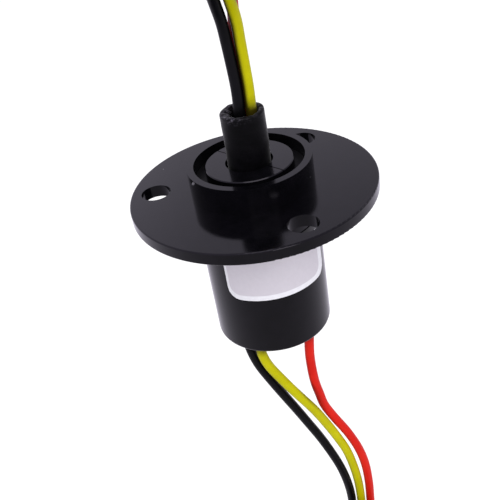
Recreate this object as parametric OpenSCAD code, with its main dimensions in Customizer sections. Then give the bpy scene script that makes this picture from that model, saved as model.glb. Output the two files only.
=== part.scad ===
// Capsule slip ring: a flanged stator housing with brush blocks, and a rotor
// with three contact rings that turns in it without limit on two ball bearings.
// Millimetres, +Z along the rotor's axis towards its lead-out. z = 0 is the
// flange's seating face.

/* [Flange] */
// Flange diameter
flange_d = 44; // [40:0.5:50]
// Flange thickness
flange_t = 2.2; // [1.6:0.1:3]
// Diameter of the circle through the screw holes
hole_pcd = 35; // [32:0.5:37]
// Screw hole diameter
hole_d = 5.3; // [4:0.1:5.6]
// Number of screw holes
hole_count = 3; // [3:1:4]
// Direction of the first screw hole, in degrees
hole_az = 171.7; // [150:0.1:180]
// Rounding of the flange's edges
flange_edge = 0.25; // [0.1:0.05:0.5]

/* [Housing] */
// Outer diameter of the capsule
body_d = 22; // [21.6:0.1:24]
// Length of the capsule below the flange's seating face
body_l = 28; // [27:0.5:34]
// Wall of the capsule
wall = 1.25; // [1:0.05:1.3]
// Height of the collar above the flange
collar_h = 4.8; // [4.4:0.1:6]
// Rounding of the capsule's lower edge
body_edge = 0.6; // [0.2:0.1:0.9]
// Radial width of the shoulder that the front bearing rests on
shoulder_w = 0.98; // [0.6:0.02:1]
// Thickness of that shoulder
shoulder_t = 1.2; // [0.8:0.1:1.6]

/* [End cap] */
// Thickness of the end cap's disc
cap_disc_t = 2.6; // [2:0.1:3]
// Step from the capsule's rim in to the end cap
cap_inset = 0.3; // [0.1:0.1:0.6]
// Wall of the rear bearing's seat
seat_wall = 1.08; // [0.9:0.02:1.2]
// Material left outside the lead holes, from their middle to the end cap's edge
lead_rim = 1.2; // [1.15:0.05:1.4]
// Diameter of the lead holes
lead_hole_d = 2.1; // [2:0.05:2.2]

/* [Bearings] */
// Step from the recess in to the front bearing's seat
seat_step = 0.75; // [0.6:0.05:0.8]
// Front bearing: radial height
fb_section = 3; // [2.9:0.05:3.1]
// Front bearing: width
fb_w = 4; // [3.6:0.1:4.4]
// Front bearing: ball diameter
fb_ball = 1.6; // [1.4:0.1:1.7]
// Front bearing: number of balls
fb_balls = 16; // [10:1:18]
// Gap between the rear bearing's seat and the lead holes
seat_gap = 0.35; // [0.2:0.05:0.5]
// Rear bearing: radial height
rb_section = 2; // [1.9:0.05:2.1]
// Rear bearing: width
rb_w = 3.5; // [3:0.1:4]
// Rear bearing: ball diameter
rb_ball = 1.1; // [0.9:0.1:1.2]
// Rear bearing: number of balls
rb_balls = 14; // [8:1:16]
// Radial width of the dust washer
washer_w = 2.1; // [1.9:0.05:2.2]
// Thickness of the dust washer
washer_t = 0.5; // [0.3:0.05:0.6]

/* [Rotor] */
// Width of the open recess round the split cap that closes the rotor
cap_gap = 1.95; // [1.6:0.05:2.2]
// Thickness of the split cap
rotor_cap_t = 1.6; // [1.2:0.1:2]
// How far the split cap lies below the collar's rim
cap_recess = 0.35; // [0.2:0.05:0.6]
// Direction of the split, in degrees
split_az = 132; // [90:1:180]
// Width of the split
split_w = 0.2; // [0.06:0.02:0.3]
// Gap round the sleeve in the cap's hole
sleeve_gap = 0.45; // [0.3:0.05:0.6]
// Wall of the cap's skirt inside the shaft
skirt_t = 0.45; // [0.4:0.05:0.5]
// Depth of the cap's skirt
skirt_l = 1.75; // [1.2:0.05:2.2]
// Gap between the shaft's head and the dust washer
head_gap = 0.4; // [0.3:0.05:0.6]
// Thickness of the shaft's head
head_t = 0.85; // [0.7:0.05:1.2]
// Wall of the shaft under the contact rings
shaft_wall = 2; // [1.8:0.05:2.1]

/* [Contact rings] */
// Number of contact rings
ring_count = 3; // [2:1:3]
// Radial thickness of a contact ring
ring_t = 1.5; // [1.3:0.05:1.6]
// Width of a contact ring
ring_w = 4; // [3.4:0.1:4.2]
// Depth of the running groove in a ring
ring_groove = 0.25; // [0.1:0.05:0.4]
// How far a barrier stands out past the rings
barrier_rise = 0.8; // [0.6:0.05:0.9]
// Gap between the barriers and the brush blocks
barrier_gap = 0.6; // [0.5:0.05:0.8]
// Thickness of a barrier
barrier_t = 1.2; // [0.9:0.1:1.4]
// Retaining clip thickness
clip_t = 1; // [0.8:0.1:1.2]
// Step from the rings in to the retaining clip's edge
clip_step = 0.2; // [0.1:0.05:0.6]
// Depth of the clip's groove in the shaft
clip_groove = 0.35; // [0.2:0.05:0.5]

/* [Brushes] */
// Radial thickness of a brush block
block_t = 1.8; // [1.5:0.05:1.9]
// Angle that a brush block covers, in degrees
block_span = 70; // [66:1:80]
// Direction of the first brush block, in degrees
block_az = -140; // [-146:1:-140]
// Brush wire diameter
brush_d = 0.5; // [0.4:0.05:0.6]
// Distance between a ring's two brush wires
brush_pitch = 1.8; // [1.2:0.1:2.2]

/* [Sleeve and label] */
// Outer diameter of the lead-out sleeve
sleeve_d = 7.5; // [7.3:0.05:7.6]
// Wall of the sleeve
sleeve_wall = 0.9; // [0.7:0.05:0.9]
// Height of the sleeve above the split cap
sleeve_h = 9.4; // [6:0.1:12]
// Length of the sleeve inside the rotor, below the cap's face
sleeve_in = 7.6; // [6:0.1:7.7]
// Label: height
label_h = 11.4; // [8:0.1:13]
// Label: distance of its upper edge below the flange's seating face
label_top = 4.2; // [1:0.1:5]
// Label: angle that it covers, in degrees
label_span = 107; // [60:1:150]
// Label: direction of its middle, in degrees
label_az = -79.5; // [-120:0.5:-40]
// Label: thickness
label_t = 0.12; // [0.08:0.02:0.2]
// Label: corner radius
label_corner = 2.2; // [1:0.1:3]

/* [Leads] */
// Lead diameter over its insulation
lead_d = 1.9; // [1.8:0.05:1.95]
// Diameter of the solder tail from a rotor wire to its ring
tail_d = 1.2; // [0.8:0.1:1.3]

/* [Hanks] */
// Distance between the leads' layers in a hank
layer = 2.1; // [2:0.05:2.3]
// Width of a hank's end loops, outside
hank_w = 21; // [20:0.1:23]
// Length of the straight part of the rotor hank
rotor_hank_l = 32; // [28:0.5:38]
// Length of the straight part of the stator hank
stator_hank_l = 28; // [26:0.5:36]
// Width of a hank at its tie
waist_w = 8.2; // [8:0.1:9]
// Length of a hank's waist
waist_l = 5; // [4:0.1:8]
// Width of a tie's band
tie_w = 3; // [2:0.1:3.5]
// Thickness of a tie's band
tie_t = 0.8; // [0.6:0.1:1.2]

/* [Hidden] */
$fn = 96;

// clearances
fit = 0.02;       // between a seated piece and its seat
slide = 0.05;     // between pieces that are pushed together
run = 0.05;       // between a ball and its groove
touch = 0.03;     // between a brush wire and its ring
eps = 0.1;        // overshoot of a cutting shape
through = 2 * body_l;  // length of a cut that runs right through

// heights
z_rim = flange_t + collar_h;
z_cap = z_rim - cap_recess;            // face of the split cap
z_head = z_cap - rotor_cap_t;          // top of the shaft's head
z_fb = z_head - head_t;                // top of the front bearing
z_stack = z_fb - fb_w;                 // top of the ring stack
z_cap_out = -body_l + cap_inset;       // end cap's outer face
z_cap_in = z_cap_out + cap_disc_t;     // end cap's inner face
z_rb = z_cap_in + rb_w;                // top of the rear bearing
ring_pitch = ring_w + barrier_t;
stack_l = ring_count * ring_pitch + barrier_t;
z_clip = z_stack - stack_l;            // lower face of the ring stack
z_block = z_stack - shoulder_t;        // upper face of the brush blocks
block_l = stack_l - shoulder_t + clip_t;
function ring_z(k) = z_stack - barrier_t - ring_w / 2 - (k - 1) * ring_pitch;

// radii and diameters, from the capsule's bore inwards
bore_r = body_d / 2 - wall;
fb_od = 2 * (bore_r - seat_step);
fb_id = fb_od - 2 * fb_section;
washer_id = 2 * (bore_r - slide - washer_w);
head_d = washer_id - 2 * head_gap;
rotor_cap_d = 2 * (bore_r - cap_gap);
cap_hole_d = sleeve_d + 2 * sleeve_gap;
sleeve_seat_d = sleeve_d + 2 * slide;
block_r = bore_r - slide - block_t;
barrier_d = 2 * (block_r - barrier_gap);
ring_d = barrier_d - 2 * barrier_rise;
shaft_d = ring_d - 2 * ring_t;
shaft_bore_d = shaft_d - 2 * shaft_wall;
clip_d = ring_d - 2 * clip_step;
groove_r = ring_d / 2 - ring_groove;
lead_r = bore_r - slide - lead_rim;
rb_od = 2 * (lead_r - lead_hole_d / 2 - seat_wall - fit - seat_gap);
rb_id = rb_od - 2 * rb_section;
pocket_r = (rb_od + rb_id) / 4;
brush_off = groove_r + brush_d / 2 + touch;  // chord of a brush wire from the axis
brush_l = 2 * sqrt(pow(block_r + block_t / 4, 2) - pow(brush_off, 2));
block_b_az = block_az + 180;

// colour, place in the rotor's bore and place in the end cap of each lead
LEADS = [["black", "#1c1a1e", [-0.3, -0.6], -134.9],
         ["yellow", "#c8c400", [1.7, -0.5], -116.6],
         ["red", "#d8201a", [0.7, 1.2], -45.3]];
function lead(name) = [for (l = LEADS) if (l[0] == name) l][0];

// routes of the leads, from where they leave the part
z_mouth = z_cap + sleeve_h;
ROTOR_ROUTES = [
    ["black", [[-0.3, -0.6, 0], [-0.3, -0.6, 4], [-0.5, -0.6, 8], [-0.8, -0.6, 11.5],
        [-1.1, -1.1, 15], [-1.6, -2.8, 19], [-1.95, -5.8, 23], [-2.1, -8.4, 26.5],
        [-2.1, -9.4, 30]]],
    ["yellow", [[1.7, -0.5, 0], [1.6, -0.5, 4], [1.5, -0.5, 8], [1.4, -0.6, 11.5],
        [1.3, -1.1, 15], [0.8, -2.8, 19], [0.3, -5.8, 23], [0, -8.4, 26.5],
        [0, -9.4, 30]]],
    ["red", [[0.7, 1.3, 0], [0.6, 1.35, 4], [0.5, 1.35, 8], [0.6, 1.4, 11.5],
        [1.1, 1.4, 15], [1.9, -0.4, 19], [2.3, -4.2, 23], [2.2, -7.9, 26.5],
        [2.1, -9.4, 30]]]];
STATOR_ROUTES = [
    ["black", [[-6, -6, 0], [-5.8, -6, -2.6], [-4.8, -6, -6.8], [-2.8, -6, -11.8],
        [-0.7, -6, -16.6], [1.4, -6, -21.3], [3.2, -6.1, -25.4], [5.2, -6.2, -30],
        [7.1, -6.4, -35], [8.7, -6.5, -40], [9.8, -6.6, -45], [10.4, -6.6, -50],
        [10.5, -6.6, -55], [10.5, -6.6, -58]]],
    ["yellow", [[-3.8, -7.6, 0], [-3.8, -7.6, -2.6], [-2.9, -7.6, -6], [-1.1, -7.6, -9.7],
        [0.8, -7.6, -13.3], [2.9, -7.6, -17], [4.8, -7.5, -20.5], [6.8, -7.3, -25],
        [8.8, -7.1, -30], [10.5, -6.9, -35], [11.7, -6.7, -41], [12.4, -6.6, -47],
        [12.6, -6.6, -53], [12.6, -6.6, -58]]],
    ["red", [[6, -6, 0], [5.7, -6, -3], [5.5, -6, -6.6], [5.6, -6, -10.7],
        [5.9, -6, -14.2], [6.5, -6, -17.4], [7.3, -6, -20.9], [9.1, -6.1, -25],
        [11.5, -6.3, -30], [13.2, -6.5, -35.5], [14.3, -6.6, -41], [14.7, -6.6, -47],
        [14.7, -6.6, -53], [14.7, -6.6, -58]]]];
hank_t = 2 * layer + lead_d;
ROTOR_HANK = [0, 0, 43.5];               // middle of the first end loop
STATOR_HANK = [12.6, -16.1, -85];
function route(list, name) = [for (r = list) if (r[0] == name) r[1]][0];

// a tube through points, with sides parallel to X where it can
function unit(v) = v / norm(v);
function tangent(p, i) = unit(p[min(i + 1, len(p) - 1)] - p[max(i - 1, 0)]);
module tube(p, d, sides = 8) {
    rings = [for (i = [0:len(p) - 1])
        let (t = (i == 0 || i == len(p) - 1) ? [0, 0, p[len(p) - 1][2] > p[0][2] ? 1 : -1] : tangent(p, i),
             v = unit(cross(t, [1, 0, 0])), u = cross(v, t))
        for (j = [0:sides - 1])
            p[i] + d / 2 * (cos(360 * (j + 0.5) / sides) * u + sin(360 * (j + 0.5) / sides) * v)];
    n = len(p);
    faces = concat([[for (j = [0:sides - 1]) j]],
        [for (i = [0:n - 2], j = [0:sides - 1])
            [i * sides + j, (i + 1) * sides + j, (i + 1) * sides + (j + 1) % sides, i * sides + (j + 1) % sides]],
        [[for (j = [sides - 1:-1:0]) (n - 1) * sides + j]]);
    polyhedron(rings, faces, convexity = 4);
}

module ring(r_out, r_in, h) {
    difference() {
        cylinder(r = r_out, h = h);
        translate([0, 0, -eps]) cylinder(r = r_in, h = h + 2 * eps);
    }
}

module sector(r, az, span, h) {
    rotate([0, 0, az - span / 2]) rotate_extrude(angle = span) square([r, h]);
}

// ---- stator -------------------------------------------------------------

module housing_profile() {
    ro = body_d / 2;
    re = flange_d / 2;
    f = flange_edge;
    difference() {
        union() {
            // capsule and collar
            translate([0, -body_l + body_edge]) square([ro, body_l + z_rim - body_edge]);
            translate([0, -body_l]) square([ro - body_edge, body_edge + eps]);
            translate([ro - body_edge, -body_l + body_edge]) circle(r = body_edge);
            // flange
            translate([0, 0]) square([re - f, flange_t]);
            translate([0, f]) square([re, flange_t - 2 * f]);
            for (z = [f, flange_t - f]) translate([re - f, z]) circle(r = f);
        }
        // capsule's bore, bearing seat and the open recess round the cap
        translate([-eps, -body_l - eps]) square([bore_r + eps, body_l + eps + z_stack - shoulder_t]);
        translate([-eps, z_stack - shoulder_t - eps]) square([fb_od / 2 - shoulder_w + eps, shoulder_t + 2 * eps]);
        translate([-eps, z_stack]) square([fb_od / 2 + fit + eps, fb_w + eps]);
        translate([-eps, z_fb]) square([bore_r + eps, z_rim - z_fb + eps]);
    }
}

module stator_housing() {
    color("#17161a") difference() {
        rotate_extrude() housing_profile();
        for (k = [0:hole_count - 1]) rotate([0, 0, hole_az + k * 360 / hole_count])
            translate([hole_pcd / 2, 0, -eps]) cylinder(d = hole_d, h = flange_t + 2 * eps);
    }
}

module end_cap() {
    seat_r = rb_od / 2 + fit;
    color("#1b1b1e") difference() {
        union() {
            translate([0, 0, z_cap_out]) cylinder(r = bore_r - slide, h = cap_disc_t);
            translate([0, 0, z_cap_in - eps]) cylinder(r = seat_r + seat_wall, h = rb_w + eps);
        }
        translate([0, 0, z_cap_in]) cylinder(r = seat_r, h = rb_w + eps);
        translate([0, 0, z_cap_in - 0.4]) cylinder(r = pocket_r, h = 0.4 + eps);
        for (l = LEADS) rotate([0, 0, l[3]]) translate([lead_r, 0, z_cap_out - eps])
            cylinder(d = lead_hole_d, h = cap_disc_t + 2 * eps);
    }
}

// what is cut from one corner of the label: s and t are the corner's sides, the round is four short facets
module label_corner_cut(s, t) {
    c = label_corner;
    arc = [for (i = [0:4]) [c * cos(22.5 * i), c * sin(22.5 * i)]];
    p0 = arc[0] + (arc[0] - arc[1]) * 0.5;
    p4 = arc[4] + (arc[4] - arc[3]) * 0.5;
    pts = [p0, arc[1], arc[2], arc[3], p4, [p4[0], 2 * c], [2 * c, 2 * c], [2 * c, p0[1]]];
    rotate([90, 0, 90]) linear_extrude(height = body_d / 2) polygon([for (p = pts) [s * p[0], t * p[1]]]);
}

module label_sticker() {
    r = body_d / 2 + fit / 2;
    z0 = -label_top - label_h;
    a = label_corner / r * 180 / PI;
    color("#d3cedb") difference() {
        rotate([0, 0, label_az - label_span / 2]) rotate_extrude(angle = label_span)
            translate([r, z0]) square([label_t, label_h]);
        for (s = [-1, 1], t = [-1, 1])
            rotate([0, 0, label_az + s * (label_span / 2 - a)])
                translate([r / 2, 0, z0 + label_h / 2 + t * (label_h / 2 - label_corner)])
                    label_corner_cut(s, t);
    }
}

module dust_washer() {
    color("#101012") translate([0, 0, z_fb]) ring(bore_r - slide, washer_id / 2, washer_t);
}

// one race of a ball bearing: inner side r0, outer side r1, its groove on the pitch radius
module race(r0, r1, w, pitch_r, ball_d) {
    rotate_extrude() difference() {
        translate([r0, 0]) square([r1 - r0, w]);
        translate([pitch_r, w / 2]) circle(d = ball_d + 2 * run);
    }
}
function shoulder(id, od, s) = (id + od) / 4 + s * (od - id) / 2 * 0.17;

module front_outer_race() {
    color("#b9bcc2") translate([0, 0, z_stack])
        race(shoulder(fb_id, fb_od, 1), fb_od / 2, fb_w, (fb_id + fb_od) / 4, fb_ball);
}
module front_inner_race() {
    color("#b9bcc2") translate([0, 0, z_stack])
        race(fb_id / 2, shoulder(fb_id, fb_od, -1), fb_w, (fb_id + fb_od) / 4, fb_ball);
}
module rear_outer_race() {
    color("#b9bcc2") translate([0, 0, z_cap_in])
        race(shoulder(rb_id, rb_od, 1), rb_od / 2, rb_w, (rb_id + rb_od) / 4, rb_ball);
}
module rear_inner_race() {
    color("#b9bcc2") translate([0, 0, z_cap_in])
        race(rb_id / 2, shoulder(rb_id, rb_od, -1), rb_w, (rb_id + rb_od) / 4, rb_ball);
}

module balls(pitch_r, d, n) {
    for (k = [0:n - 1]) rotate([0, 0, k * 360 / n]) translate([pitch_r, 0, 0]) sphere(d = d, $fn = 48);
}
module cage(pitch_r, t, d, n) {
    h = d * 1.5;
    difference() {
        translate([0, 0, -h / 2]) ring(pitch_r + t / 2, pitch_r - t / 2, h);
        for (k = [0:n - 1]) rotate([0, 0, k * 360 / n]) translate([pitch_r, 0, 0])
            rotate([0, 90, 0]) cylinder(d = d + 2 * run, h = 2 * t, center = true, $fn = 24);
    }
}
module front_balls() {
    color("#c9ccd2") translate([0, 0, z_stack + fb_w / 2]) balls((fb_id + fb_od) / 4, fb_ball, fb_balls);
}
module front_cage() {
    color("#8a6f3c") translate([0, 0, z_stack + fb_w / 2])
        cage((fb_id + fb_od) / 4, (fb_od - fb_id) / 2 * 0.22, fb_ball, fb_balls);
}
module rear_balls() {
    color("#c9ccd2") translate([0, 0, z_cap_in + rb_w / 2]) balls((rb_id + rb_od) / 4, rb_ball, rb_balls);
}
module rear_cage() {
    color("#8a6f3c") translate([0, 0, z_cap_in + rb_w / 2])
        cage((rb_id + rb_od) / 4, (rb_od - rb_id) / 2 * 0.22, rb_ball, rb_balls);
}

// six brush wires of one block, each a chord that touches its ring's groove
module brush_rods(d, l) {
    for (k = [1:ring_count], s = [-1, 1])
        translate([brush_off, 0, ring_z(k) + s * brush_pitch / 2]) rotate([90, 0, 0])
            cylinder(d = d, h = l, center = true, $fn = 24);
}
module brush_block(az) {
    difference() {
        translate([0, 0, z_block - block_l]) intersection() {
            ring(bore_r - slide, block_r, block_l);
            sector(bore_r, az, block_span, block_l);
        }
        rotate([0, 0, az]) brush_rods(brush_d + 2 * fit, brush_l + 2 * fit);
    }
}
module brush_block_a() { color("#2d5b3a") brush_block(block_az); }
module brush_block_b() { color("#2d5b3a") brush_block(block_b_az); }
module brush_wires_a() { color("#d9b25a") rotate([0, 0, block_az]) brush_rods(brush_d, brush_l); }
module brush_wires_b() { color("#d9b25a") rotate([0, 0, block_b_az]) brush_rods(brush_d, brush_l); }

// from the brush blocks down to the end cap; the red wire runs round to the far block
function polar(az, z) = [lead_r * cos(az), lead_r * sin(az), z];
module stator_inner_wires() {
    z0 = z_block - block_l - fit;
    red_az = lead("red")[3];
    far_az = block_b_az - block_span / 2 + 12;
    steps = 6;
    for (n = ["black", "yellow"]) color(lead(n)[1]) rotate([0, 0, lead(n)[3]])
        translate([lead_r, 0, -body_l]) cylinder(d = lead_d, h = z0 + body_l);
    color(lead("red")[1]) tube(concat([polar(far_az, z0), polar(far_az - 1, z0 - 0.9)],
        [for (i = [1:steps - 1]) polar(far_az + (red_az - far_az) * i / steps, z0 - 1.9)],
        [polar(red_az, z0 - 2.9), polar(red_az, z0 - 4.5), polar(red_az, -body_l)]), lead_d);
}

// ---- rotor --------------------------------------------------------------

module shaft_profile() {
    polygon([[0, z_cap_in - 0.2], [rb_id / 2 - fit, z_cap_in - 0.2], [rb_id / 2 - fit, z_rb],
        [shaft_d / 2, z_rb], [shaft_d / 2, z_clip - clip_t - fit], [shaft_d / 2 - clip_groove, z_clip - clip_t - fit],
        [shaft_d / 2 - clip_groove, z_clip], [shaft_d / 2, z_clip],
        [shaft_d / 2, z_stack + 0.2], [fb_id / 2 - fit, z_stack + 0.2], [fb_id / 2 - fit, z_fb],
        [head_d / 2, z_fb], [head_d / 2, z_head], [0, z_head]]);
}
// hole from the bore to contact ring k, in the direction of its wire
module ring_window(name, k, d, reach) {
    p = lead(name)[2];
    a = atan2(p[1], p[0]);
    translate([0, 0, ring_z(k)]) rotate([0, 0, a]) translate([norm(p), 0, 0]) rotate([0, 90, 0])
        cylinder(d = d, h = reach - norm(p));
}
WIRING = [["black", 1], ["red", 2], ["yellow", 3]];
module rotor_shaft() {
    color("#e6e2d6") difference() {
        rotate_extrude() shaft_profile();
        translate([0, 0, ring_z(ring_count) - tail_d]) cylinder(d = shaft_bore_d, h = through);
        translate([0, 0, z_cap - sleeve_in - fit]) cylinder(d = sleeve_seat_d, h = through);
        translate([0, 0, z_head - skirt_l - slide])
            cylinder(r = cap_hole_d / 2 + skirt_t + slide, h = through);
        for (w = WIRING) if (w[1] <= ring_count) ring_window(w[0], w[1], tail_d + 0.3, shaft_d);
    }
}

module rotor_cap_half(turn) {
    r = cap_hole_d / 2;
    f = 0.15;
    rotate([0, 0, split_az + turn]) difference() {
        union() {
            translate([0, 0, z_head]) cylinder(d = rotor_cap_d, h = rotor_cap_t - f);
            translate([0, 0, z_cap - f]) cylinder(d1 = rotor_cap_d, d2 = rotor_cap_d - 2 * f, h = f);
            translate([0, 0, z_head - skirt_l]) cylinder(r = r + skirt_t, h = skirt_l + eps);
        }
        translate([0, 0, z_head - skirt_l - eps]) cylinder(r = r, h = skirt_l + rotor_cap_t + 2 * eps);
        translate([-rotor_cap_d, split_w / 2 - 2 * rotor_cap_d, z_cap - rotor_cap_d])
            cube([2 * rotor_cap_d, 2 * rotor_cap_d, 2 * rotor_cap_d]);
    }
}
module rotor_cap_half_a() { color("#1d1c20") rotor_cap_half(0); }
module rotor_cap_half_b() { color("#1d1c20") rotor_cap_half(180); }

module rotor_sleeve() {
    ro = sleeve_d / 2;
    f = sleeve_wall * 0.4;
    z0 = z_cap - sleeve_in;
    color("#222125") rotate_extrude() {
        translate([ro - sleeve_wall, z0]) square([sleeve_wall, z_mouth - f - z0]);
        translate([ro - sleeve_wall + f, z_mouth - f - eps]) square([sleeve_wall - 2 * f, f + eps]);
        for (x = [ro - sleeve_wall + f, ro - f]) translate([x, z_mouth - f]) circle(r = f);
    }
}

module contact_ring(k) {
    ri = shaft_d / 2 + slide;
    color("#d8a94a") translate([0, 0, ring_z(k)]) rotate_extrude() difference() {
        translate([ri, -ring_w / 2]) square([ring_d / 2 - ri, ring_w]);
        for (s = [-1, 1]) translate([groove_r, s * brush_pitch / 2 - brush_d]) square([ring_d, 2 * brush_d]);
    }
}
module contact_ring_1() { if (ring_count >= 1) contact_ring(1); }
module contact_ring_2() { if (ring_count >= 2) contact_ring(2); }
module contact_ring_3() { if (ring_count >= 3) contact_ring(3); }

module ring_barrier(k) {
    color("#efe9dc") translate([0, 0, z_stack - barrier_t - (k - 1) * ring_pitch])
        ring(barrier_d / 2, shaft_d / 2 + slide, barrier_t);
}
module ring_barrier_1() { ring_barrier(1); }
module ring_barrier_2() { ring_barrier(2); }
module ring_barrier_3() { if (ring_count >= 2) ring_barrier(3); }
module ring_barrier_4() { if (ring_count >= 3) ring_barrier(4); }

module retaining_clip() {
    color("#7d7f85") translate([0, 0, z_clip - clip_t]) difference() {
        ring(clip_d / 2, shaft_d / 2 - clip_groove + slide, clip_t);
        translate([0, -clip_d / 8, -eps]) cube([clip_d, clip_d / 4, clip_t + 2 * eps]);
    }
}

module rotor_inner_wires() {
    for (w = WIRING) if (w[1] <= ring_count) {
        l = lead(w[0]);
        color(l[1]) {
            translate([l[2][0], l[2][1], ring_z(w[1])]) cylinder(d = lead_d, h = z_mouth - ring_z(w[1]));
            translate([l[2][0], l[2][1], ring_z(w[1])]) sphere(d = lead_d);
        }
        color("#c9ccd2") ring_window(w[0], w[1], tail_d, shaft_d / 2 + slide - fit);
    }
}

// ---- leads --------------------------------------------------------------

module rotor_lead(name) {
    color(lead(name)[1]) tube([for (p = route(ROTOR_ROUTES, name)) p + [0, 0, z_mouth]], lead_d);
}
module stator_lead(name) {
    color(lead(name)[1]) tube([for (p = route(STATOR_ROUTES, name)) p + [0, 0, -body_l]], lead_d);
}
module rotor_lead_black() { rotor_lead("black"); }
module rotor_lead_yellow() { rotor_lead("yellow"); }
module rotor_lead_red() { rotor_lead("red"); }
module stator_lead_black() { stator_lead("black"); }
module stator_lead_yellow() { stator_lead("yellow"); }
module stator_lead_red() { stator_lead("red"); }

// a tied hank in the Y-Z plane, its first end loop round the origin, running up for l
module hank(l) {
    mid = l / 2;
    in = 0.2;
    rotate([0, 0, 90]) rotate([90, 0, 0]) translate([0, 0, -hank_t / 2]) {
        for (z = [0, l]) translate([0, z, 0]) cylinder(d = hank_w, h = hank_t);
        linear_extrude(hank_t) polygon([[-hank_w / 2 + in, 0], [-waist_w / 2, mid - waist_l / 2],
            [-waist_w / 2, mid + waist_l / 2], [-hank_w / 2 + in, l], [hank_w / 2 - in, l],
            [waist_w / 2, mid + waist_l / 2], [waist_w / 2, mid - waist_l / 2], [hank_w / 2 - in, 0]]);
    }
}
module tie(l) {
    a = hank_t / 2 + slide;
    b = waist_w / 2 + slide;
    translate([0, 0, l / 2 - tie_w / 2]) difference() {
        union() {
            translate([-a - tie_t, -b - tie_t, 0]) cube([2 * (a + tie_t), 2 * (b + tie_t), tie_w]);
            // the tie's lock
            translate([-a - 3 * tie_t, -tie_w / 2, -tie_w * 0.15]) cube([3 * tie_t, tie_w, tie_w * 1.3]);
        }
        translate([-a, -b, -eps - tie_w]) cube([2 * a, 2 * b, 3 * tie_w + 2 * eps]);
    }
}
module rotor_hank() { color("#3a3a3c") translate(ROTOR_HANK) hank(rotor_hank_l); }
module rotor_tie() { color("#f2f2f0") translate(ROTOR_HANK) tie(rotor_hank_l); }
module stator_hank() { color("#3a3a3c") translate(STATOR_HANK) mirror([0, 0, 1]) hank(stator_hank_l); }
module stator_tie() { color("#f2f2f0") translate(STATOR_HANK) mirror([0, 0, 1]) tie(stator_hank_l); }

stator_housing();
end_cap();
label_sticker();
dust_washer();
front_outer_race();
rear_outer_race();
brush_block_a();
brush_block_b();
brush_wires_a();
brush_wires_b();
stator_inner_wires();
rotor_shaft();
rotor_cap_half_a();
rotor_cap_half_b();
rotor_sleeve();
contact_ring_1();
contact_ring_2();
contact_ring_3();
ring_barrier_1();
ring_barrier_2();
ring_barrier_3();
ring_barrier_4();
retaining_clip();
front_inner_race();
rear_inner_race();
rotor_inner_wires();
front_balls();
front_cage();
rear_balls();
rear_cage();
rotor_lead_black();
rotor_lead_yellow();
rotor_lead_red();
rotor_hank();
rotor_tie();
stator_lead_black();
stator_lead_yellow();
stator_lead_red();
stator_hank();
stator_tie();
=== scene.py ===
"""Slip ring: finishes on the CAD frame, detailed sleeve, leads and ties, a floor and soft light."""
import bmesh, bpy, math
import numpy as np
from mathutils import Matrix, Vector


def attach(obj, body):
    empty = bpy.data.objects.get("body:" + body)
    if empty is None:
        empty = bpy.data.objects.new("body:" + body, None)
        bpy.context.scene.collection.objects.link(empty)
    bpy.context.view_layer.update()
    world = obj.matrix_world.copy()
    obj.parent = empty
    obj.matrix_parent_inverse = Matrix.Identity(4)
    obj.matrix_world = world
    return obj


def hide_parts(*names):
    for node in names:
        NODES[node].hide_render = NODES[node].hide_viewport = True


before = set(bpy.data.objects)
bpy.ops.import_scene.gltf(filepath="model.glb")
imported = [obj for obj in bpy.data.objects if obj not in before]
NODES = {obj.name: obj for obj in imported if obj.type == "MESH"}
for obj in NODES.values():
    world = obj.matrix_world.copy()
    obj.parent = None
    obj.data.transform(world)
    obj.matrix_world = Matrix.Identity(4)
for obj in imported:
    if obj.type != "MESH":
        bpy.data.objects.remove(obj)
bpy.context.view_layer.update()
MM = 0.001

# sizes, in mm, as in the part's source
BODY_R = 11.0
BODY_L = 28.0                           # capsule below the flange's seating face
CAP_Z = 6.65                            # face of the split cap
SLEEVE_D, SLEEVE_WALL = 7.5, 0.9
SLEEVE_H, SLEEVE_IN = 9.4, 7.6          # above and below the face of the cap
MOUTH_Z = CAP_Z + SLEEVE_H
LEAD_D = 1.9
TIP_L, TIP_IN, TIP_R, TIP_END_R = 5.0, 0.3, 0.48, 0.4
LABEL_T, LABEL_SPAN, LABEL_AZ = 0.12, 107.0, -79.5
LABEL_CORNER = 2.2
TIE_W, TIE_T = 3.0, 0.8

# ---------------------------------------------------------------- camera
CAMERA_AT = (-0.00256086, -0.11556958, 0.06500337)
CAMERA_RIGHT = (0.98447726, -0.09710425, -0.14620292)
CAMERA_UP = (0.17551219, 0.54467397, 0.82007666)
CAMERA_BACK = (0.0, -0.83300722, 0.55326212)


def link_object(name, data):
    o = bpy.data.objects.new(name, data)
    bpy.context.scene.collection.objects.link(o)
    return o


def camera():
    data = bpy.data.cameras.new("camera")
    data.sensor_width = 36.0
    data.lens = 53.579
    data.clip_start, data.clip_end = 0.005, 20.0
    o = link_object("camera", data)
    rows = list(zip(CAMERA_RIGHT, CAMERA_UP, CAMERA_BACK, CAMERA_AT))
    o.matrix_world = Matrix((*rows, (0.0, 0.0, 0.0, 1.0)))
    bpy.context.scene.camera = o


camera()
bpy.context.scene.view_settings.view_transform = "Standard"


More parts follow.
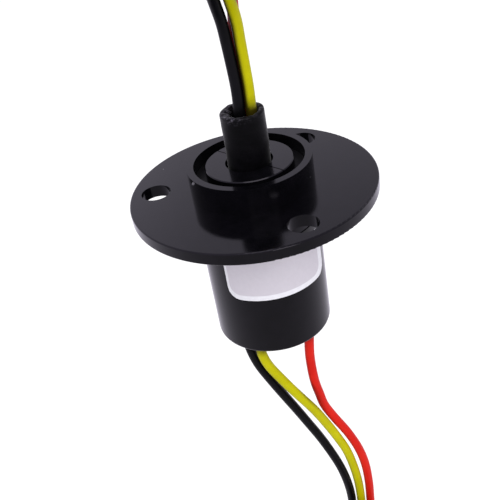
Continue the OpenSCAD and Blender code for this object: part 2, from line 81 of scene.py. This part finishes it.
# ---------------------------------------------------------------- node trees
class Tree:
    """Short ways to add nodes to a shader tree and to join them."""

    def __init__(self, owner):
        owner.use_nodes = True
        self.t = owner.node_tree

    def n(self, kind, **values):
        node = self.t.nodes.new("ShaderNode" + kind)
        for k, v in values.items():
            setattr(node, k, v)
        return node

    def put(self, sock, value):
        """Set a socket to a number, a colour or a vector, or link it to another socket."""
        if isinstance(value, bpy.types.NodeSocket):
            self.t.links.new(value, sock)
        elif sock.type == "RGBA" and len(value) == 3:
            sock.default_value = (*value, 1.0)
        else:
            sock.default_value = value

    def fill(self, node, **values):
        for k, v in values.items():
            self.put(node.inputs[k.replace("_", " ")], v)
        return node

    def math(self, op, *terms):
        node = self.n("Math", operation=op)
        for sock, v in zip(node.inputs, terms):
            self.put(sock, v)
        return node.outputs[0]

    def mix(self, fac, a, b):
        node = self.n("Mix", data_type="RGBA")
        for i, v in ((0, fac), (6, a), (7, b)):
            self.put(node.inputs[i], v)
        return node.outputs[2]

    def span(self, fac, a, b, lo, hi):
        """A number that goes from lo to hi as fac goes from a to b."""
        node = self.fill(self.n("MapRange"), Value=fac, From_Min=a, From_Max=b, To_Min=lo, To_Max=hi)
        return node.outputs["Result"]

    def split(self, vector):
        node = self.n("SeparateXYZ")
        self.put(node.inputs[0], vector)
        return node.outputs

    def rays(self, **weights):
        """The sum of the weights of the kinds that a ray is."""
        path, total = self.n("LightPath"), 0.0
        for kind, weight in weights.items():
            total = self.math("MULTIPLY_ADD", path.outputs[f"Is {kind.title()} Ray"], weight, total)
        return total


class Finish(Tree):
    """A new material: procedural values in object space on a Principled shader."""

    INPUTS = {"color": "Base Color", "rough": "Roughness", "normal": "Normal", "metal": "Metallic",
              "ior": "IOR", "spec": "Specular IOR Level", "tint": "Specular Tint",
              "sheen": "Sheen Weight", "sheen_rough": "Sheen Roughness"}

    def __init__(self, name):
        self.m = bpy.data.materials.new(name)
        super().__init__(self.m)
        self.co = self.n("TexCoord").outputs["Object"]

    def noise(self, scale, detail=3.0, rough=0.5, stretch=None):
        node = self.fill(self.n("TexNoise"), Scale=scale, Detail=detail, Roughness=rough)
        at = self.co
        if stretch:
            at = self.fill(self.n("Mapping"), Vector=at, Scale=stretch).outputs["Vector"]
        self.put(node.inputs["Vector"], at)
        return node.outputs["Fac"]

    def ramp(self, fac, dark, light, lo=0.3, hi=0.7):
        node = self.n("ValToRGB")
        for stop, at, c in zip(node.color_ramp.elements, (lo, hi), (dark, light)):
            stop.position = at
            stop.color = (*c, 1.0)
        self.put(node.inputs["Fac"], fac)
        return node.outputs["Color"]

    def bump(self, height, distance, strength, normal=None):
        node = self.fill(self.n("Bump"), Height=height, Distance=distance, Strength=strength)
        if normal is not None:
            self.put(node.inputs["Normal"], normal)
        return node.outputs["Normal"]

    def done(self, **values):
        shader = self.t.nodes["Principled BSDF"]
        for k, v in values.items():
            self.put(shader.inputs[self.INPUTS[k]], v)
        return self.m


def srgb(*rgb):
    return tuple(c / 255 / 12.92 if c / 255 <= 0.04045 else ((c / 255 + 0.055) / 1.055) ** 2.4 for c in rgb)


# ---------------------------------------------------------------- materials
def plastic(name, dark, light, rough=(0.3, 0.4), ior=1.27, dust=0.0):
    """Moulded plastic: faint mottling, fine pebble, the slow ripple of a moulded face, specks of dust."""
    a = Finish(name)
    spots, slow, fine = a.noise(420.0, 4.0, 0.55), a.noise(55.0, 2.0), a.noise(9000.0, 2.0)
    colour = a.ramp(spots, dark, light, lo=0.35)
    gloss = a.span(slow, 0.35, 0.65, *rough)
    if dust:
        cells = a.fill(a.n("TexVoronoi"), Scale=330.0, Vector=a.co)
        size = a.span(a.noise(170.0, 1.0), 0.53, 0.66, 0.0, 0.05)
        speck = a.math("LESS_THAN", cells.outputs["Distance"], size)
        colour = a.mix(a.math("MULTIPLY", speck, dust), colour, srgb(190, 188, 196))
        gloss = a.math("MAXIMUM", gloss, a.math("MULTIPLY", speck, 0.6))
    normal = a.bump(fine, 0.000004, 0.6, a.bump(slow, 0.00002, 0.8))
    return a.done(color=colour, rough=gloss, ior=ior, tint=(0.92, 0.87, 1.0), normal=normal)


def rubber():
    """Shrunk sleeving: dull, finely wrinkled round, with a painted highlight of paler lilac streaks on the
    folded side of its mouth.
    """
    a = Finish("sleeve_rubber")
    spots, fine = a.noise(700.0, 4.0, 0.6), a.noise(5200.0, 3.0, 0.6)
    bands = a.noise(600.0, 4.0, 0.6, stretch=(0.35, 0.35, 2.2))
    streaks = a.noise(1500.0, 3.0, 0.6, stretch=(1.0, 1.0, 1.6))
    x, _, z = a.split(a.co)
    lip = a.span(z, (MOUTH_Z - 1.3) * MM, (MOUTH_Z - 0.1) * MM, 0.0, 1.0)
    folded = a.span(x, -1.8 * MM, 0.8 * MM, 1.0, 0.12)
    # painted highlight: pale lilac streaks laid on the lip where it folds in
    lip_highlight = a.math("MULTIPLY", a.math("MULTIPLY", lip, folded), a.span(streaks, 0.5, 0.68, 0.0, 0.8))
    base = a.ramp(spots, srgb(2, 2, 3), srgb(6, 5, 8), hi=0.75)
    normal = a.bump(fine, 0.00001, 0.6, a.bump(bands, 0.00005, 0.7))
    return a.done(color=a.mix(lip_highlight, base, srgb(104, 100, 112)), rough=a.span(spots, 0.3, 0.7, 0.36, 0.5),
                  ior=1.4, spec=0.1, sheen=0.16, sheen_rough=0.3, normal=normal)


def lead(name, dark, light, painted_shade):
    """Smooth PVC insulation, with painted shade in the narrow places where leads and sleeving touch."""
    a = Finish(name)
    slow, fine = a.noise(260.0), a.noise(7000.0, 2.0)
    near = a.fill(a.n("AmbientOcclusion", samples=12), Distance=3.0 * MM)
    # painted shade: an ambient occlusion mask darkens the colour where other leads and the sleeving close
    # in
    open_air = a.math("POWER", a.span(near.outputs["AO"], 0.6, 1.0, 0.0, 1.0), 2.0)
    # the painted shade fades out along the lead and is gone where the lead is wound in the hank
    wound = a.span(a.math("ABSOLUTE", a.split(a.co)[2]), 36.0 * MM, 52.0 * MM, 0.0, 1.0)
    own_colour = a.ramp(slow, dark, light)
    normal = a.bump(fine, 0.000004, 0.5, a.bump(slow, 0.00004, 0.5))
    return a.done(color=a.mix(a.math("MAXIMUM", wound, open_air), painted_shade, own_colour),
                  rough=a.span(slow, 0.3, 0.7, 0.34, 0.46), ior=1.4, spec=0.12, normal=normal)


def beyond(a, x, y, run, rise, offset):
    """1 on one side of the line run * x + rise * y + offset = 0."""
    total = a.math("MULTIPLY_ADD", y, rise, a.math("MULTIPLY_ADD", x, run, offset))
    return a.math("GREATER_THAN", total, 0.0)


def wires(side):
    """The insulation inside the part: one node holds the three wires, told apart by where they run."""
    a = Finish(side + "_wires")
    x, y, _ = a.split(a.co)
    if side == "rotor":
        yellow = a.math("GREATER_THAN", x, 0.7 * MM)
        right = beyond(a, x, y, 1.0, 1.9, -0.865 * MM)
        left = beyond(a, x, y, -1.0, 1.7, 1.795 * MM)
        red = a.math("MULTIPLY", right, left)
    else:
        yellow = beyond(a, x, y, 1.375, -1.0, -0.06 * MM)
        red = a.math("GREATER_THAN", x, 0.0)
    colour = a.mix(red, a.mix(yellow, srgb(9, 8, 12), srgb(150, 146, 2)), srgb(150, 24, 18))
    return a.done(color=colour, rough=0.36, ior=1.4, spec=0.3,
                  normal=a.bump(a.noise(7000.0, 2.0), 0.000004, 0.5))


def metal(name, dark, light, rough=(0.2, 0.35), scale=900.0):
    a = Finish(name)
    slow, fine = a.noise(scale), a.noise(9000.0, 2.0)
    return a.done(color=a.ramp(slow, dark, light), metal=1.0, rough=a.span(slow, 0.3, 0.7, *rough),
                  normal=a.bump(fine, 0.000003, 0.5))


def outside(a, u, v, half_u, half_v, r):
    """How far a point at u, v >= 0 lies outside a rectangle with round corners, less than 0 inside it."""
    du = a.math("SUBTRACT", u, half_u - r)
    dv = a.math("SUBTRACT", v, half_v - r)
    pu, pv = a.math("MAXIMUM", du, 0.0), a.math("MAXIMUM", dv, 0.0)
    far = a.math("SQRT", a.math("ADD", a.math("MULTIPLY", pu, pu), a.math("MULTIPLY", pv, pv)))
    return a.math("SUBTRACT", a.math("ADD", far, a.math("MINIMUM", a.math("MAXIMUM", du, dv), 0.0)), r)


def label():
    """A bare label: grey-lilac field in a paler border, and above its paper a strip of black film."""
    a = Finish("label_paper")
    fibre, fine = a.noise(1400.0, 4.0, 0.6), a.noise(6500.0, 2.0)
    x, y, z = a.split(a.co)
    top, bottom, width = -5.6, -15.6, 1.05           # the paper's ends, and its border
    middle, half_h = (top + bottom) / 2, (top - bottom) / 2
    turn = a.math("SUBTRACT", a.math("ARCTAN2", y, x), math.radians(LABEL_AZ))
    across = a.math("ADD", a.math("MULTIPLY", turn, BODY_R * MM), 0.55 * MM)
    u, v = a.math("ABSOLUTE", across), a.math("ABSOLUTE", a.math("SUBTRACT", z, middle * MM))
    d = outside(a, u, v, (10.27 - width) * MM, (half_h - width) * MM, 1.9 * MM)
    border = a.span(d, -0.04 * MM, 0.06 * MM, 0.0, 1.0)
    field = a.ramp(fibre, srgb(205, 200, 210), srgb(209, 204, 214))
    paper = a.ramp(fibre, srgb(228, 227, 235), srgb(236, 236, 243))
    # the paper reaches the sides and the lower end of the label, and has round upper corners
    skin_r = BODY_R + LABEL_T
    half_w = skin_r * math.radians(LABEL_SPAN / 2)
    au = a.math("ABSOLUTE", a.math("MULTIPLY", turn, skin_r * MM))
    film = a.math("GREATER_THAN", outside(a, au, z, half_w * MM, top * MM, LABEL_CORNER * MM), 0.03 * MM)
    gloss = a.math("MULTIPLY", a.span(fibre, 0.3, 0.7, 0.34, 0.46), a.span(film, 0.0, 1.0, 1.0, 0.35))
    return a.done(color=a.mix(film, a.mix(border, field, paper), srgb(7, 6, 9)), rough=gloss,
                  ior=1.4, spec=0.3, normal=a.bump(fine, 0.000004, 0.5))


M = {
    "housing": plastic("housing_plastic", srgb(4, 4, 6), srgb(9, 8, 12), (0.09, 0.15), dust=0.55),
    "cap": plastic("rotor_cap_plastic", srgb(5, 5, 7), srgb(10, 9, 13), (0.11, 0.18), dust=0.4),
    "end_cap": plastic("end_cap_plastic", srgb(16, 16, 18), srgb(24, 24, 27), (0.25, 0.35)),
    "shaft": plastic("shaft_plastic", srgb(24, 24, 26), srgb(34, 34, 37)),
    "block": plastic("brush_block_plastic", srgb(30, 44, 36), srgb(40, 58, 46)),
    "barrier": plastic("barrier_plastic", srgb(196, 196, 190), srgb(212, 212, 206), (0.3, 0.42)),
    "tie": plastic("tie_plastic", srgb(20, 20, 22), srgb(30, 30, 33), (0.3, 0.42), ior=1.5),
    "sleeve": rubber(),
    # each lead: its own colour, dark and light, then the colour of its painted shade
    "black": lead("lead_black", srgb(6, 6, 9), srgb(12, 11, 16), srgb(5, 5, 6)),
    "yellow": lead("lead_yellow", srgb(176, 172, 0), srgb(190, 186, 2), srgb(48, 42, 2)),
    "red": lead("lead_red", srgb(200, 26, 17), srgb(211, 35, 23), srgb(96, 18, 14)),
    "rotor_wires": wires("rotor"),
    "stator_wires": wires("stator"),
    "steel": metal("bearing_steel", srgb(150, 152, 156), srgb(180, 182, 186)),
    "brass": metal("cage_brass", srgb(150, 120, 60), srgb(184, 150, 84)),
    "gold": metal("contact_gold", srgb(196, 152, 68), srgb(226, 182, 92)),
    "tin": metal("lead_tip_tinned", srgb(150, 152, 156), srgb(190, 192, 196), (0.3, 0.42), 3000.0),
    "label": label(),
}

FINISH = {
    "housing": ["stator_housing"],
    "end_cap": ["end_cap"],
    "label": ["label_sticker"],
    "sleeve": ["dust_washer", "rotor_sleeve"],
    "shaft": ["rotor_shaft"],
    "cap": ["rotor_cap_half_a", "rotor_cap_half_b"],
    "steel": ["front_outer_race", "rear_outer_race", "front_inner_race", "rear_inner_race",
              "front_balls", "rear_balls", "retaining_clip"],
    "brass": ["front_cage", "rear_cage"],
    "block": ["brush_block_a", "brush_block_b"],
    "gold": ["brush_wires_a", "brush_wires_b", "contact_ring_1", "contact_ring_2", "contact_ring_3"],
    "barrier": ["ring_barrier_1", "ring_barrier_2", "ring_barrier_3", "ring_barrier_4"],
    "stator_wires": ["stator_inner_wires"],
    "rotor_wires": ["rotor_inner_wires"],
    "tie": ["rotor_tie", "stator_tie"],
}
for key, names in FINISH.items():
    for name in names:
        slots = NODES[name].data.materials
        slots.clear()
        slots.append(M[key])


# ---------------------------------------------------------------- mesh helpers
def mesh_object(name, verts, faces, material, body, smooth=True):
    """A mesh with its vertices in mm, riding on a body."""
    me = bpy.data.meshes.new(name)
    me.from_pydata([tuple(c * MM for c in v) for v in verts], [], faces)
    me.validate()
    me.materials.append(material)
    if smooth:
        me.polygons.foreach_set("use_smooth", [True] * len(me.polygons))
    o = link_object(name, me)
    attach(o, body)
    return o


def quads(rows, sides):
    """The faces between rows of vertices, each row a closed ring of that many sides."""
    return [(j * sides + i, j * sides + k, (j + 1) * sides + k, (j + 1) * sides + i)
            for j in range(rows - 1) for i, k in ((i, (i + 1) % sides) for i in range(sides))]


def spaced(line, step, length=None):
    """Points evenly spaced along a line, to its end or to a length."""
    along = np.concatenate([[0], np.cumsum(np.linalg.norm(np.diff(line, axis=0), axis=1))])
    end = along[-1] if length is None else min(length, along[-1])
    at = np.linspace(0, end, max(2, int(round(end / step)) + 1))
    return np.stack([np.interp(at, along, line[:, k]) for k in range(3)], axis=1)


def smooth_line(points):
    """A Catmull-Rom line through the points, spaced evenly."""
    p = np.array(points, float)
    p = np.vstack([2 * p[0] - p[1], p, 2 * p[-1] - p[-2]])
    out = []
    for i in range(1, len(p) - 2):
        a, b, c, d = p[i - 1:i + 3]
        for t in np.linspace(0, 1, 12, endpoint=False):
            out.append(0.5 * (2 * b + (c - a) * t + (2 * a - 5 * b + 4 * c - d) * t * t
                              + (3 * b - a - 3 * c + d) * t ** 3))
    out.append(p[-2])
    return spaced(np.array(out), 0.5)


def tube(name, line, radii, material, sides, body, seed, wobble):
    """A closed tube round a line, with a radius for each point that varies a little."""
    n, window = len(line), 9
    tan = np.gradient(line, axis=0)
    tan /= np.linalg.norm(tan, axis=1)[:, None]
    up = np.cross(tan[0], (0.3, 1.0, 0.2))
    up /= np.linalg.norm(up)
    noise = np.random.default_rng(seed).normal(size=n + window - 1)
    drift = np.convolve(noise, np.ones(window) / window, "valid")
    radii = np.array(radii, float) * (1 + wobble * drift)
    verts = []
    for i in range(n):
        up = up - tan[i] * (up @ tan[i])
        up /= np.linalg.norm(up)
        side = np.cross(tan[i], up)
        for s in range(sides):
            a = 2 * math.pi * s / sides
            verts.append(line[i] + radii[i] * (math.cos(a) * up + math.sin(a) * side))
    faces = quads(n, sides)
    faces.append(tuple(reversed(range(sides))))
    faces.append(tuple(range((n - 1) * sides, n * sides)))
    return mesh_object(name, verts, faces, material, body)


# ---------------------------------------------------------------- leads
# from where each lead leaves the part, in mm
ROUTES = {
    ("rotor", "black"): [
        (-0.3, -0.6, 0), (-0.15, -0.6, 4), (-0.3, -0.6, 8), (-0.5, -0.6, 11.5), (-0.75, -1.1, 15),
        (-1.4, -2.8, 19), (-1.9, -5.8, 23), (-2.1, -8.4, 26.5), (-2.1, -9.4, 30)],
    ("rotor", "yellow"): [
        (1.7, -0.5, 0), (1.8, -0.5, 4), (1.7, -0.5, 8), (1.6, -0.6, 11.5), (1.5, -1.1, 15),
        (0.9, -2.8, 19), (0.3, -5.8, 23), (0, -8.4, 26.5), (0, -9.4, 30)],
    ("rotor", "red"): [
        (0.7, 1.3, 0), (0.8, 1.35, 4), (0.8, 1.35, 8), (0.9, 1.4, 11.5), (1.3, 1.4, 15),
        (1.5, -0.4, 19), (2.1, -4.2, 23), (2.2, -7.9, 26.5), (2.1, -9.4, 30)],
    ("stator", "black"): [
        (-6, -6, 0), (-5.8, -6, -2.6), (-4.8, -6, -6.8), (-2.8, -6, -11.8), (-0.7, -6, -16.6),
        (1.4, -6, -21.3), (3.2, -6.1, -25.4), (5.2, -6.2, -30), (7.1, -6.4, -35), (8.7, -6.5, -40),
        (9.8, -6.6, -45), (10.4, -6.6, -50), (10.5, -6.6, -55), (10.5, -6.6, -58)],
    ("stator", "yellow"): [
        (-3.8, -7.6, 0), (-3.8, -7.6, -2.6), (-2.9, -7.6, -6), (-1.1, -7.6, -9.7), (0.8, -7.6, -13.3),
        (2.9, -7.6, -17), (4.8, -7.5, -20.5), (6.8, -7.3, -25), (8.8, -7.1, -30), (10.5, -6.9, -35),
        (11.7, -6.7, -41), (12.4, -6.6, -47), (12.6, -6.6, -53), (12.6, -6.6, -58)],
    ("stator", "red"): [
        (6.0, -6, 0), (5.65, -6, -3), (5.4, -6, -6.6), (5.462, -6, -10.7), (5.73, -6, -14.2),
        (6.3, -6, -17.4), (7.0, -6, -20.9), (8.75, -6.1, -25), (11.2, -6.3, -30), (13.2, -6.5, -35.5),
        (14.3, -6.6, -41), (14.7, -6.6, -47), (14.7, -6.6, -53), (14.7, -6.6, -58)],
}
EXIT_Z = {"rotor": MOUTH_Z, "stator": -BODY_L}
LENGTH = {"rotor": 240.0, "stator": 250.0}
SUNK = {"rotor": 3.0, "stator": 0.0}    # how deep in the sleeve a lead's mesh starts

FINE_STEP, RING_STEP = 0.1, 0.9         # between a lead's points, and between its tube's rings
EASE = 12                               # half the number of points that a bend is eased over
# each hank: the middle of its runs in y, its near end, its length, and its way along z
HANKS = {"rotor": (0.1, 43.5, 32.0, 1), "stator": (-16.1, -85.0, 28.0, -1)}
# each run of a hank: where it lies, the radius of the fold at its end, and where the tie draws it to
RUNS = ((-9.5, 9.0, -3.05), (8.5, 8.0, 3.05), (-7.5, 7.0, -1.0), (6.5, 6.0, 1.0), (-5.5, 5.0, -1.0))


def hank(l, start, length):
    """One lead wound flat in a hank, as (v, w): up, over, down and on inwards, drawn in at the tie."""
    waist, tied = l / 2, 1.5
    wide = min(14.0, waist - 1.5)
    pts, w = [], start
    for k, (v, r, drawn_to) in enumerate(RUNS):
        way = 1 if k % 2 == 0 else -1
        end = l if way > 0 else 0.0
        for s in np.linspace(w, end, 40):
            share = min(1.0, max(0.0, (abs(s - waist) - tied) / (wide - tied)))
            pts.append((v + (drawn_to - v) * (0.5 * (1 + math.cos(math.pi * share))), s))
        c = v + way * r
        for a in np.linspace(0, math.pi, 26)[1:-1]:
            pts.append((c - way * r * math.cos(a), end + way * r * math.sin(a)))
        w = end
        if np.linalg.norm(np.diff(np.array(pts), axis=0), axis=1).sum() >= length + 40:
            break
    return pts


def lead_line(side, colour):
    """A lead's line: its route, its hank, and at the rotor a stretch inside the sleeve."""
    route = [(x, y, z + EXIT_Z[side]) for x, y, z in ROUTES[side, colour]]
    mid_y, near_z, l, way = HANKS[side]
    x, _, z = route[-1]
    wound = hank(l, way * (z - near_z) + 0.5, LENGTH[side])
    turns = [(x, mid_y + way * v, near_z + way * w) for v, w in wound]
    line = spaced(np.vstack([smooth_line(route), np.array(turns[1:])]), FINE_STEP)
    kernel = np.hanning(2 * EASE + 1)
    kernel /= kernel.sum()
    pad = np.vstack([2 * line[0] - line[EASE:0:-1], line, 2 * line[-1] - line[-2:-EASE - 2:-1]])
    line = np.stack([np.convolve(pad[:, k], kernel, "valid") for k in range(3)], axis=1)
    if SUNK[side]:
        line = np.vstack([line[0] - (0, 0, SUNK[side]), line])
    return spaced(line, RING_STEP, LENGTH[side])


def make_lead(side, colour):
    """A lead with its tinned tip; the black one stands for the hank too."""
    line = lead_line(side, colour)
    # inside the sleeve the insulation lies over the wires of the rotor
    radii = [LEAD_D / 2 + (0.03 if side == "rotor" and q[2] < MOUTH_Z + 0.3 else 0.0) for q in line]
    o = tube(f"{side}_lead_{colour}_cord", line, radii, M[colour], 18, side, len(colour), 0.012)
    way = line[-1] - line[-2]
    way /= np.linalg.norm(way)
    tip_line = np.array([line[-1] + way * (t * TIP_L - TIP_IN) for t in np.linspace(0, 1, 14)])
    tip_radii = [TIP_R] * (len(tip_line) - 1) + [TIP_END_R]
    tip = tube(f"{side}_lead_{colour}_tip", tip_line, tip_radii, M["tin"], 12, side, 5, 0.03)
    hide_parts(f"{side}_lead_{colour}")
    if colour == "black":
        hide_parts(f"{side}_hank")


def tie(side, x, y):
    """A nylon cable tie drawn round the waist of a hank: a ribbed band, its lock and the cut tail."""
    _, near_z, l, way = HANKS[side]
    name, middle = f"{side}_cable_tie", near_z + way * (l / 2)
    half_x, half_y, r, rib = 3.1, 4.1, 1.3, 0.07
    cx, cy = half_x - r, half_y - r
    corners = []
    for at_x, at_y, start in ((cx, cy, 0), (-cx, cy, 90), (-cx, -cy, 180), (cx, -cy, 270)):
        for k in range(9):
            f = math.radians(start + k * 90 / 8)
            corners.append(np.array((at_x, at_y, math.cos(f), math.sin(f))))
    path = []
    for p, q in zip(corners, corners[1:] + corners[:1]):
        n = max(1, int(math.hypot(*(q[:2] + q[2:] * r - p[:2] - p[2:] * r)) / 0.25))
        path += [p + (q - p) * (k / n) for k in range(n)]
    # half the band's section, out from the leads, with the sunk track of the teeth in the middle
    edge = [(0.12, TIE_W / 2), (TIE_T - 0.15, TIE_W / 2), (TIE_T, TIE_W / 2 - 0.2),
            (TIE_T, 0.9), (TIE_T - 0.14, 0.75)]
    section = [(0, -TIE_W / 2 + 0.15), (0, TIE_W / 2 - 0.15)] + edge + [(d, -z) for d, z in reversed(edge)]
    m = len(section)
    verts = []
    for i, (px, py, nx, ny) in enumerate(path):
        for d, z in section:
            e = r + d - (rib if i % 2 and abs(z) < 0.8 and d > 0.5 else 0.0)
            verts.append((px + nx * e + x, py + ny * e + y, middle + way * z))
    faces = [(i * m + k, j * m + k, j * m + q, i * m + q)
             for i, j in ((i, (i + 1) % len(path)) for i in range(len(path)))
             for k, q in ((k, (k + 1) % m) for k in range(m))]
    if way < 0:
        faces = [tuple(reversed(f)) for f in faces]
    band = mesh_object(name, verts, faces, M["tie"], side, smooth=False)
    bm = bmesh.new()
    lock_block = ((1.7, 4.0, 4.0), (-half_x - TIE_T - 0.75, 0.2, 0.0))
    tail = ((0.75, 2.6, 2.4), (-half_x - TIE_T - 0.95, 3.2, 0.0))
    for size, at in (lock_block, tail):
        for v in bmesh.ops.create_cube(bm, size=1.0)["verts"]:
            v.co = Vector([(v.co[k] * size[k] + at[k] + (x, y, middle)[k]) * MM for k in range(3)])
    bmesh.ops.bevel(bm, geom=bm.edges[:], offset=0.3 * MM, segments=3, affect="EDGES")
    me = bpy.data.meshes.new(name + "_lock")
    bm.to_mesh(me)
    bm.free()
    me.materials.append(M["tie"])
    lock = link_object(name + "_lock", me)
    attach(lock, side)
    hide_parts(f"{side}_tie")
    return [band, lock]


# ---------------------------------------------------------------- sleeve
def sleeve():
    """The lead-out sleeving: an uneven shrunk tube whose lip is turned in round the leads on one side."""
    sides, lean = 120, 0.12                 # lean: how far it stands off the axis above the cap
    outer_r, inner_r = SLEEVE_D / 2, SLEEVE_D / 2 - SLEEVE_WALL
    fold_az, fold_in = math.radians(172), 0.95
    base = CAP_Z - SLEEVE_IN + 0.02
    phase = np.random.default_rng(7).uniform(0, 2 * math.pi, 12)
    waves = ((2, 0.35), (3, 0.9), (5, 1.7), (1, 2.6), (7, 0.6), (4, 3.4))

    def ripple(f, z, amp):
        s = 0.0
        for k, (round_f, along_f) in enumerate(waves):
            s += math.sin(round_f * f + along_f * z + phase[k]) / (1 + 0.3 * k)
        return amp * s / 3

    def clamp(v):
        return min(1.0, max(0.0, v))

    # the profile: what it belongs to, its share of the wall from outside inwards, its height
    profile = [("out", 0.0, z) for z in np.linspace(base, MOUTH_Z - 0.55, 34)]
    for k in range(9):
        a = math.radians(k * 20)
        profile.append(("lip", 0.5 * (1 - math.cos(a)), MOUTH_Z - 0.4 + 0.4 * math.sin(a)))
    profile += [("in", 1.0, z) for z in np.linspace(MOUTH_Z - 0.55, MOUTH_Z - 5.5, 22)]
    profile.append(("in", 1.0, base))

    def point(kind, share, z, f):
        off_fold = math.atan2(math.sin(f - fold_az), math.cos(f - fold_az))
        fold = math.exp(-(off_fold / 0.75) ** 2)
        deep = clamp((z - (MOUTH_Z - 3.2)) / 2.6)
        pleats = 1 + 0.22 * math.sin(9 * f + 2.0) + 0.15 * math.sin(17 * f)
        inner = inner_r - fold_in * fold * deep * pleats
        outer = outer_r + ripple(f, z, 0.035) * clamp((z - CAP_Z) / 2) + 0.03
        r = inner + ripple(f, z, 0.05) * deep
        if kind == "out":
            r = outer if z >= CAP_Z - 1 else outer_r - 0.02
        elif kind == "lip":
            r = outer - share * (outer - inner)
        height = z
        if z > MOUTH_Z - 1.2:
            height += (0.05 * math.sin(3 * f + 1.0) + 0.035 * math.sin(7 * f + phase[1])
                       + 0.02 * math.sin(13 * f + phase[2]))
        if kind == "lip":
            height -= (0.42 * fold * share * (1 + 0.35 * math.sin(11 * f))
                       + 0.05 * share * math.sin(19 * f + phase[4]))
        return lean * clamp((z - CAP_Z) / 3) + r * math.cos(f), r * math.sin(f), height

    turn = [2 * math.pi * i / sides for i in range(sides)]
    verts = [point(kind, share, z, f) for kind, share, z in profile for f in turn]
    faces = quads(len(profile), sides)
    last = (len(profile) - 1) * sides
    faces += [(last + i, last + (i + 1) % sides, (i + 1) % sides, i) for i in range(sides)]
    o = mesh_object("sleeve_shrunk", verts, faces, M["sleeve"], "rotor")
    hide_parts("rotor_sleeve")


sleeve()
TIES = {"rotor": tie("rotor", 0, 0), "stator": tie("stator", 12.6, -16.1)}
for side in ("rotor", "stator"):
    for colour in ("black", "yellow", "red"):
        make_lead(side, colour)


# ---------------------------------------------------------------- floor, world and lamp
FLOOR_Z, FLOOR_HALF = -0.1265, 4.0


def floor():
    """A plain pale floor, plain white to the camera, that lets the view through from below."""
    mat = bpy.data.materials.new("floor_white")
    t = Tree(mat)
    shader = t.t.nodes["Principled BSDF"]
    glossy = t.n("LightPath").outputs["Is Glossy Ray"]
    # mirrored in the part, the floor is darker in front, as in a studio with its lamps behind and beside
    away = t.n("VectorMath", operation="DISTANCE")
    t.put(away.inputs[0], t.n("TexCoord").outputs["Object"])
    t.put(away.inputs[1], (0.0, -0.24, FLOOR_Z))
    mirrored = t.span(away.outputs["Value"], 0.12, 0.4, 0.03, 0.55)
    glow = t.math("MULTIPLY_ADD", glossy, mirrored, t.rays(camera=0.5, diffuse=0.28, transmission=0.5))
    t.fill(shader, Base_Color=(0.62, 0.62, 0.62), Roughness=0.9, Specular_IOR_Level=0.0,
           Emission_Strength=glow, Emission_Color=t.mix(glossy, (1.0, 1.0, 1.0), (0.8, 0.72, 1.0)))
    either = t.n("MixShader")
    t.put(either.inputs[0], t.n("NewGeometry").outputs["Backfacing"])
    t.put(either.inputs[1], shader.outputs[0])
    t.put(either.inputs[2], t.n("BsdfTransparent").outputs[0])
    t.put(t.t.nodes["Material Output"].inputs["Surface"], either.outputs[0])
    s, z = FLOOR_HALF, FLOOR_Z
    me = bpy.data.meshes.new("floor")
    me.from_pydata([(-s, -s, z), (s, -s, z), (s, s, z), (-s, s, z)], [], [(0, 1, 2, 3)])
    me.materials.append(mat)
    link_object("floor", me)


def surroundings():
    """Soft light all round: white to the camera; in the part's gloss a lilac room, dimmer on the right."""
    world = bpy.data.worlds.new("world")
    bpy.context.scene.world = world
    t = Tree(world)
    soft, seen, mixer = t.t.nodes["Background"], t.n("Background"), t.n("MixShader")
    t.fill(soft, Color=(0.97, 0.96, 1.0), Strength=0.78)
    x = t.split(t.n("TexCoord").outputs["Generated"])[0]
    room = t.math("ADD", t.span(x, -0.16, 0.16, 1.22, 0.98), t.span(x, -0.17, -0.07, 0.3, 0.0))
    by_camera = t.n("LightPath").outputs["Is Camera Ray"]
    t.fill(seen, Color=t.mix(by_camera, (0.9, 0.86, 1.0), (1.0, 1.0, 1.0)),
           Strength=t.math("MAXIMUM", room, by_camera))
    t.put(mixer.inputs[0], t.rays(camera=1.0, glossy=1.0, transmission=1.0))
    t.put(mixer.inputs[1], soft.outputs[0])
    t.put(mixer.inputs[2], seen.outputs[0])
    t.put(t.t.nodes["World Output"].inputs["Surface"], mixer.outputs[0])


def key_lamp():
    where, target = Vector((0.14, -0.7, 0.82)), Vector((0.0, 0.0, -0.02))
    d = bpy.data.lights.new("key", "AREA")
    d.shape, d.size, d.size_y = "RECTANGLE", 0.9, 0.7
    d.energy, d.color = 7.5, (1.0, 0.985, 0.97)
    o = link_object("key", d)
    o.location = where
    o.rotation_mode = "QUATERNION"
    o.rotation_quaternion = (target - where).to_track_quat("-Z", "Y")


floor()
surroundings()
key_lamp()
